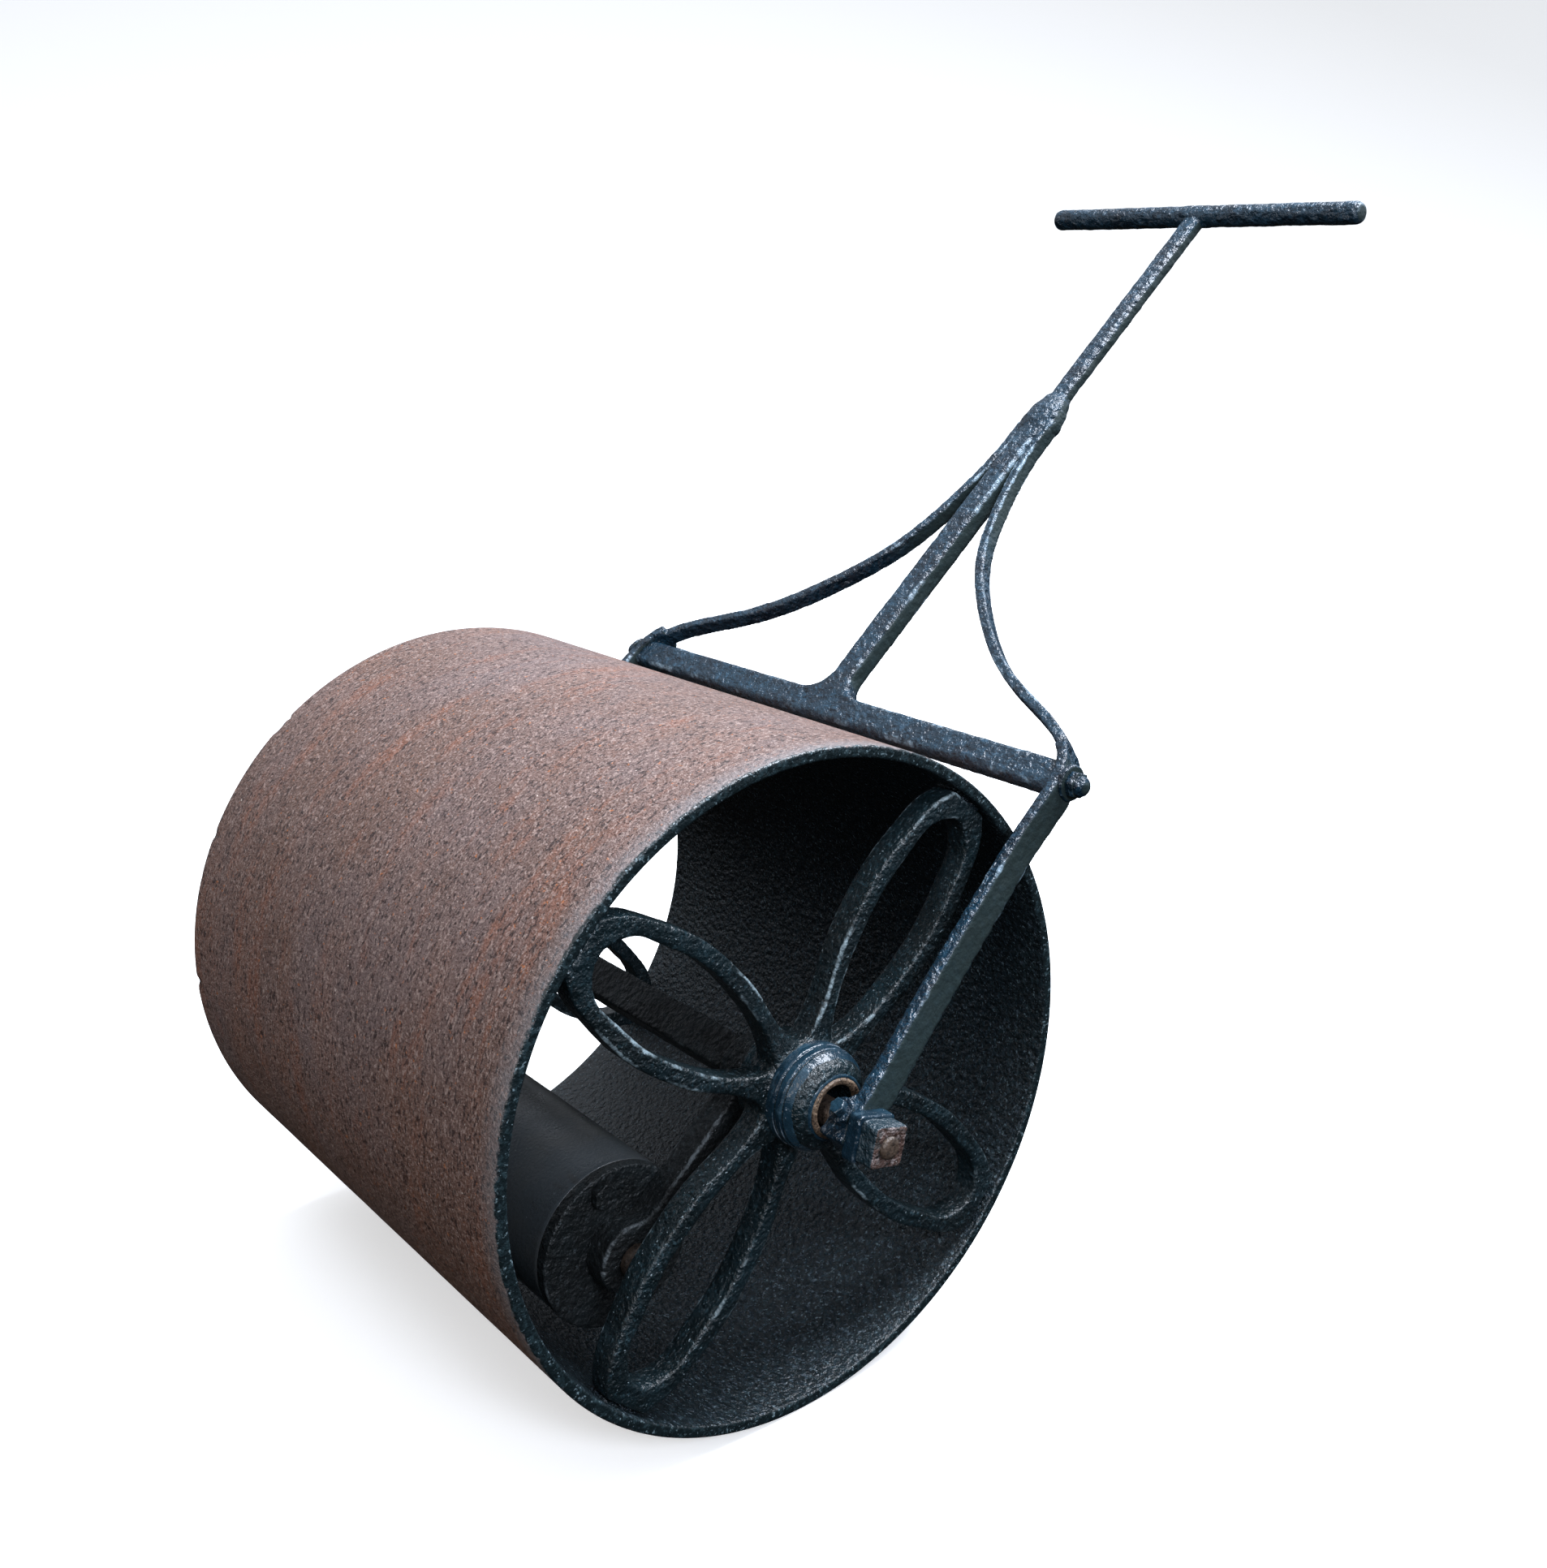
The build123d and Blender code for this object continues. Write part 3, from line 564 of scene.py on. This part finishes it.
def spunShell():
    tree, start = newTree("spunShell", {
        "Radius": "Float", "Half Width": "Float", "Wall": "Float", "Corner": "Float", "Around": "Int",
        "Cell": "Float", "Pad Count": "Int", "Pad Phase": "Float", "Pad Size": "Vector",
        "Pad Station": "Float", "Pad Sink": "Float", "Chip Depth": "Float", "Chip Size": "Float",
        "Chip Band": "Float", "Chip Start": "Float", "Chip Full": "Float", "Finish": "Material"})
    ask = start.outputs
    width = addNode(tree, "ShaderNodeMath", {0: ask["Half Width"], 1: 2.0}, operation="MULTIPLY").outputs[0]
    strip = addNode(tree, "GeometryNodeCurvePrimitiveQuadrilateral", {"Width": ask["Wall"], "Height": width})
    eased = addNode(tree, "GeometryNodeFilletCurve", {
        "Curve": strip.outputs[0], "Radius": ask["Corner"], "Count": 5}, mode="POLY")
    # long stretches are cut into cells
    here = addNode(tree, "GeometryNodeInputPosition").outputs[0]
    ahead = addNode(tree, "GeometryNodeOffsetPointInCurve", {"Offset": 1})
    there = addNode(tree, "GeometryNodeFieldAtIndex", {"Index": ahead.outputs["Point Index"], "Value": here},
                    data_type="FLOAT_VECTOR", domain="POINT")
    gap = addNode(tree, "ShaderNodeVectorMath", {0: here, 1: there.outputs[0]}, operation="DISTANCE")
    cuts = addNode(tree, "ShaderNodeMath", {0: gap.outputs["Value"], 1: ask["Cell"]}, operation="DIVIDE")
    celled = addNode(tree, "GeometryNodeSubdivideCurve", {"Curve": eased.outputs[0], "Cuts": cuts.outputs[0]})
    half = addNode(tree, "ShaderNodeMath", {0: ask["Wall"], 1: 0.5}, operation="MULTIPLY").outputs[0]
    middle = addNode(tree, "ShaderNodeMath", {0: ask["Radius"], 1: half}, operation="SUBTRACT").outputs[0]
    ring = addNode(tree, "GeometryNodeCurvePrimitiveCircle", {"Resolution": ask["Around"], "Radius": middle})
    swept = addNode(tree, "GeometryNodeCurveToMesh", {
        "Curve": ring.outputs[0], "Profile Curve": celled.outputs[0]})
    # pads stand in from the wall, one ring of them at each end
    seat = addNode(tree, "ShaderNodeMath", {0: middle, 1: ask["Pad Sink"]}, operation="SUBTRACT").outputs[0]
    block = addNode(tree, "GeometryNodeMeshCube", {
        "Size": ask["Pad Size"], "Vertices X": 3, "Vertices Y": 6, "Vertices Z": 5})
    cast = addNode(tree, "GeometryNodeSubdivisionSurface", {"Mesh": block.outputs[0], "Level": 2})
    parts = [swept.outputs[0]]
    for end in (-1, 1):
        spots = addNode(tree, "GeometryNodeMeshCircle", {"Vertices": ask["Pad Count"], "Radius": seat})
        out = addNode(tree, "FunctionNodeAlignEulerToVector", {"Vector": here}, axis="X")
        stood = addNode(tree, "GeometryNodeInstanceOnPoints", {
            "Points": spots.outputs[0], "Instance": cast.outputs[0], "Rotation": out.outputs[0]})
        turned = addNode(tree, "ShaderNodeCombineXYZ", {2: ask["Pad Phase"]})
        along = addNode(tree, "ShaderNodeMath", {0: ask["Pad Station"], 1: float(end)}, operation="MULTIPLY")
        shift = addNode(tree, "ShaderNodeCombineXYZ", {2: along.outputs[0]})
        padRing = addNode(tree, "GeometryNodeTransform", {
            "Geometry": stood.outputs[0], "Translation": shift.outputs[0], "Rotation": turned.outputs[0]})
        parts.append(padRing.outputs[0])
    joined = tree.nodes.new("GeometryNodeJoinGeometry")
    for part in parts:
        tree.links.new(part, joined.inputs[0])
    real = addNode(tree, "GeometryNodeRealizeInstances", {0: joined.outputs[0]})
    # the far rim's outer corner has lost a few chips
    axes = addNode(tree, "ShaderNodeSeparateXYZ", {0: here})
    edge = addNode(tree, "ShaderNodeMath", {0: ask["Chip Band"], 1: ask["Half Width"]}, operation="SUBTRACT")
    beyond = addNode(tree, "ShaderNodeMath", {0: axes.outputs[2], 1: edge.outputs[0]}, operation="LESS_THAN")
    scale = addNode(tree, "ShaderNodeMath", {0: 1.0, 1: ask["Chip Size"]}, operation="DIVIDE")
    noise = addNode(tree, "ShaderNodeTexNoise", {"Vector": here, "Scale": scale.outputs[0], "Detail": 3.0})
    bite = addNode(tree, "ShaderNodeMapRange", {
        0: noise.outputs[0], 1: ask["Chip Start"], 2: ask["Chip Full"]})
    amount = addNode(tree, "ShaderNodeMath", {0: bite.outputs[0], 1: beyond.outputs[0]}, operation="MULTIPLY")
    depth = addNode(tree, "ShaderNodeMath", {
        0: amount.outputs[0], 1: ask["Chip Depth"]}, operation="MULTIPLY")
    toAxis = addNode(tree, "ShaderNodeVectorMath", {0: here, 1: (-1, -1, 0)}, operation="MULTIPLY")
    inwards = addNode(tree, "ShaderNodeVectorMath", {0: toAxis.outputs[0]}, operation="NORMALIZE")
    offset = addNode(tree, "ShaderNodeVectorMath", {
        0: inwards.outputs[0], "Scale": depth.outputs[0]}, operation="SCALE")
    chipped = addNode(tree, "GeometryNodeSetPosition", {
        "Geometry": real.outputs[0], "Offset": offset.outputs[0]})
    # from standing on its end to lying on the ground
    lift = addNode(tree, "ShaderNodeCombineXYZ", {2: ask["Radius"]})
    laid = addNode(tree, "GeometryNodeTransform", {
        "Geometry": chipped.outputs[0], "Translation": lift.outputs[0], "Rotation": (0, math.pi / 2, 0)})
    endTree(tree, laid.outputs[0], ask["Finish"])
    return tree


drumShell = bpy.data.objects.new("drumShell", bpy.data.meshes.new("drumShell"))
bpy.context.scene.collection.objects.link(drumShell)
useTree(drumShell, spunShell(), shell | {"Radius": drumRadius, "Half Width": drumHalf, "Finish": treadIron})
skin(drumShell, shellSkin)
keep(drumShell, "drum", ["drum_shell"])
print("drum shell", [round(v, 4) for v in drumShell.dimensions])

# a forged or cast piece: cell, dents and grain in mm, and how many times its edges are eased
spiders = {
    "near": {"finish": sandCast, "cell": 1.6, "soften": 12, "dents": (1.3, 24), "grain": (0.5, 5),
             "seed": 1, "swell": 0.0},
    "far": {"finish": sandCast, "cell": 2.0, "soften": 8, "dents": (1.3, 24), "grain": (0.5, 5),
            "seed": 2, "swell": 0.0},
}
for near, look in spiders.items():
    forge(near + "Spider", [near + "_spider"], "drum", look)

# the hub's outer half: two worn grooves round a domed barrel, then the rusted lip of the bore
hub = {
    "around": 288,
    "cell": 0.9,
    "barrel": [(240, 30), (240, 37.8), (256, 38.6), (258.4, 38.3), (259.6, 36.6), (260.8, 38.2),
               (265.4, 37.7), (266.8, 35.6), (268.2, 36.9), (274, 33.2), (279, 28.0), (282.0, 23.4),
               (281.8, 22.0), (262, 21.2), (262, 30)],
    "lip": [(262, 22.2), (282.2, 22.2), (283.5, 21.2), (283.2, 18.4), (281.6, 17.1), (262, 17.1)],
    "skin": {"dents": (0.6, 14), "grain": (0.25, 4), "seed": 20},
}
for near, end in (("near", 1), ("far", -1)):
    for part, finish in (("barrel", hubPaint), ("lip", lipRust)):
        section = [(end * x, r) for x, r in inCells(hub[part], hub["cell"])]
        hubRing = lathe(near + "Hub" + part.capitalize(), section, drumCentre, hub["around"])
        skin(hubRing, hub["skin"] | {"finish": finish})
        keep(hubRing, "drum", [near + "_spider"])
print("drum ready")

# ---- the handle: the pieces that come as a near and a far one, then the ones along its middle
handlePairs = {
    "SideBar": {"node": "side_bar", "slot": "forged_frame", "finish": forged, "cell": 1.5, "soften": 3,
                "dents": (1.0, 26), "grain": (0.5, 6), "seed": 3},
    "AxlePlate": {"node": "axle_plate", "slot": "forged_frame", "finish": hubPaint, "cell": 0.9, "soften": 8,
                  "dents": (1.6, 12), "grain": (0.6, 5), "seed": 4},
    "AxleNut": {"node": "axle_nut", "slot": "worn_nut", "finish": nutRust, "cell": 0.8, "soften": 10,
                "dents": (1.8, 11), "grain": (0.6, 4), "seed": 5},
    "LockScrew": {"node": "lock_screw", "slot": "fastener", "finish": hubPaint, "cell": 0.5, "soften": 6,
                  "dents": (0.5, 6), "grain": (0.2, 3), "seed": 6},
    "LockNut": {"node": "lock_nut", "slot": "fastener", "finish": forged, "cell": 0.6, "soften": 6,
                "dents": (0.7, 8), "grain": (0.3, 3), "seed": 7},
    "CornerWasher": {"node": "corner_washer", "slot": "fastener", "finish": forged, "cell": 0.7, "soften": 6,
                     "dents": (1.4, 11), "grain": (0.4, 4), "seed": 8},
    "CornerNut": {"node": "corner_nut", "slot": "fastener", "finish": forged, "cell": 0.6, "soften": 9,
                  "dents": (1.2, 9), "grain": (0.4, 4), "seed": 9},
}
handleMiddle = {
    "crossbarAndShaft": {"nodes": ["crossbar", "lower_shaft"], "finish": forged, "cell": 1.4, "soften": 4,
                         "dents": (1.6, 20), "grain": (1.2, 7), "seed": 10, "swell": 2.2},
    "gripAndShaft": {"nodes": ["upper_shaft", "t_grip"], "finish": forged, "cell": 1.4, "soften": 4,
                     "dents": (1.8, 20), "grain": (1.2, 6), "seed": 12, "swell": 0.5},
}
for near in ("near", "far"):
    for label, look in handlePairs.items():
        forge(near + label, [near + "_" + look["node"]], "frame", look)
for label, look in handleMiddle.items():
    forge(label, look["nodes"], "frame", look)

# the knot: a long lump drawn over the stays and both shafts, closed to a point at each end
knotLow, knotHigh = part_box("forged_knot")
knotCentre = (knotLow + knotHigh) / 2
# shares: how far along, then half its width and half its depth in mm
knot = {
    "rings": 96, "around": 96, "length": 76.0, "below": 0.45, "squareness": 3, "soften": 12,
    "shares": [(0.0, 0.01, 0.01), (0.04, 16.5, 6.5), (0.20, 19.6, 9.0), (0.42, 21.0, 12.4),
               (0.62, 18.6, 12.6), (0.80, 13.4, 9.6), (0.95, 9.6, 6.6), (1.0, 0.01, 0.01)],
    "skin": {"finish": forged, "dents": (4.0, 13), "grain": (1.3, 5), "seed": 13},
}


def knotLump():
    across = Vector((1, 0, 0))
    through = across.cross(upHandle)
    mesh = bpy.data.meshes.new("forgedKnot")
    lump = bmesh.new()
    rows = []
    for step in range(knot["rings"] + 1):
        share = step / knot["rings"]
        for (s0, w0, d0), (s1, w1, d1) in zip(knot["shares"], knot["shares"][1:]):
            if s0 <= share <= s1:
                ease = (share - s0) / (s1 - s0)
                wide, deep = w0 + (w1 - w0) * ease, d0 + (d1 - d0) * ease
                break
        middle = knotCentre + upHandle * (share - knot["below"]) * knot["length"] * mm
        row = []
        for turn in range(knot["around"]):
            angle = math.tau * turn / knot["around"]
            c, s = math.cos(angle), math.sin(angle)
            power = knot["squareness"]
            square = (abs(c) ** power + abs(s) ** power) ** (-1 / power)
            row.append(lump.verts.new(middle + (across * wide * c + through * deep * s) * square * mm))
        rows.append(row)
    for low, high in zip(rows, rows[1:]):
        for a in range(knot["around"]):
            b = (a + 1) % knot["around"]
            lump.faces.new((low[a], low[b], high[b], high[a]))
    lump.faces.new(rows[0][::-1])
    lump.faces.new(rows[-1])
    bmesh.ops.recalc_face_normals(lump, faces=lump.faces)
    lump.to_mesh(mesh)
    lump.free()
    return mesh


forgedKnot = bpy.data.objects.new("forgedKnot", knotLump())
bpy.context.scene.collection.objects.link(forgedKnot)
ease = forgedKnot.modifiers.new("ease", "SMOOTH")
ease.factor = 0.5
ease.iterations = knot["soften"]
skin(forgedKnot, knot["skin"])
keep(forgedKnot, "frame", ["forged_knot"])
print("handle ready")

# ---- the weight: a smooth turned body between two caps that are almost flush with it
weightLow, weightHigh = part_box("weight_body")
weightCentre = (weightLow + weightHigh) / 2
weight = {
    "radius": (weightHigh.z - weightLow.z) / 2 / mm, "half": weightHigh.x / mm, "core": 40.8, "rod": 9.1,
    "cap": 10.0, "capProud": 0.2, "bevel": 0.7, "around": 240, "bodyCell": 4.0, "capCell": 1.6,
    "bodySkin": {"finish": weightPaint, "dents": (0.5, 45), "grain": (0.0, 5), "seed": 15},
    "capSkin": {"finish": armPaint, "dents": (0.6, 26), "grain": (0.15, 5), "seed": 16},
}
weightArm = {"finish": armPaint, "cell": 1.5, "soften": 9, "dents": (1.6, 20), "grain": (0.7, 5), "seed": 17}
capBolts = {"finish": armPaint, "cell": 0.7, "soften": 3, "dents": (0.3, 8), "grain": (0.2, 3), "seed": 18}
tieRod = {"finish": brownSteel, "cell": 1.0, "soften": 6, "dents": (0.8, 9), "grain": (0.4, 3), "seed": 19}
axleBar = {"finish": brownSteel, "cell": 1.3, "soften": 4, "dents": (0.8, 20), "grain": (0.3, 5), "seed": 21,
           "paintPastArm": 20}


def bevelled(low, high, inner, outer, cut):
    return [(low, inner), (low, outer - cut), (low + cut, outer), (high - cut, outer), (high, outer - cut),
            (high, inner)]


half, radius, bevel = weight["half"], weight["radius"], weight["bevel"]
section = inCells(bevelled(-half, half, weight["core"], radius, bevel), weight["bodyCell"])
body = lathe("weightBody", section, weightCentre, weight["around"])
skin(body, weight["bodySkin"])
keep(body, "frame", ["weight_body"])
for near, end in (("near", 1), ("far", -1)):
    section = bevelled(half, half + weight["cap"], weight["rod"], radius + weight["capProud"], bevel)
    section = [(end * x, r) for x, r in inCells(section, weight["capCell"])]
    cap = lathe(near + "WeightCap", section, weightCentre, weight["around"])
    skin(cap, weight["capSkin"])
    keep(cap, "frame", [near + "_weight_cap"])
    forge(near + "WeightArm", [near + "_weight_arm"], "frame", weightArm)
    forge(near + "CapBolts", [near + "_cap_bolts"], "frame", capBolts)
forge("weightTieRod", ["weight_tie_rod"], "frame", tieRod)
axleRod = forge("axle", ["axle"], "frame", axleBar)
# the square between the hubs is still painted
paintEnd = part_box("near_weight_arm")[1].x + axleBar["paintPastArm"] * mm
axleRod.data.materials.append(armPaint)
for face in axleRod.data.polygons:
    face.material_index = int(abs(face.center.x) < paintEnd)
print("weight ready")
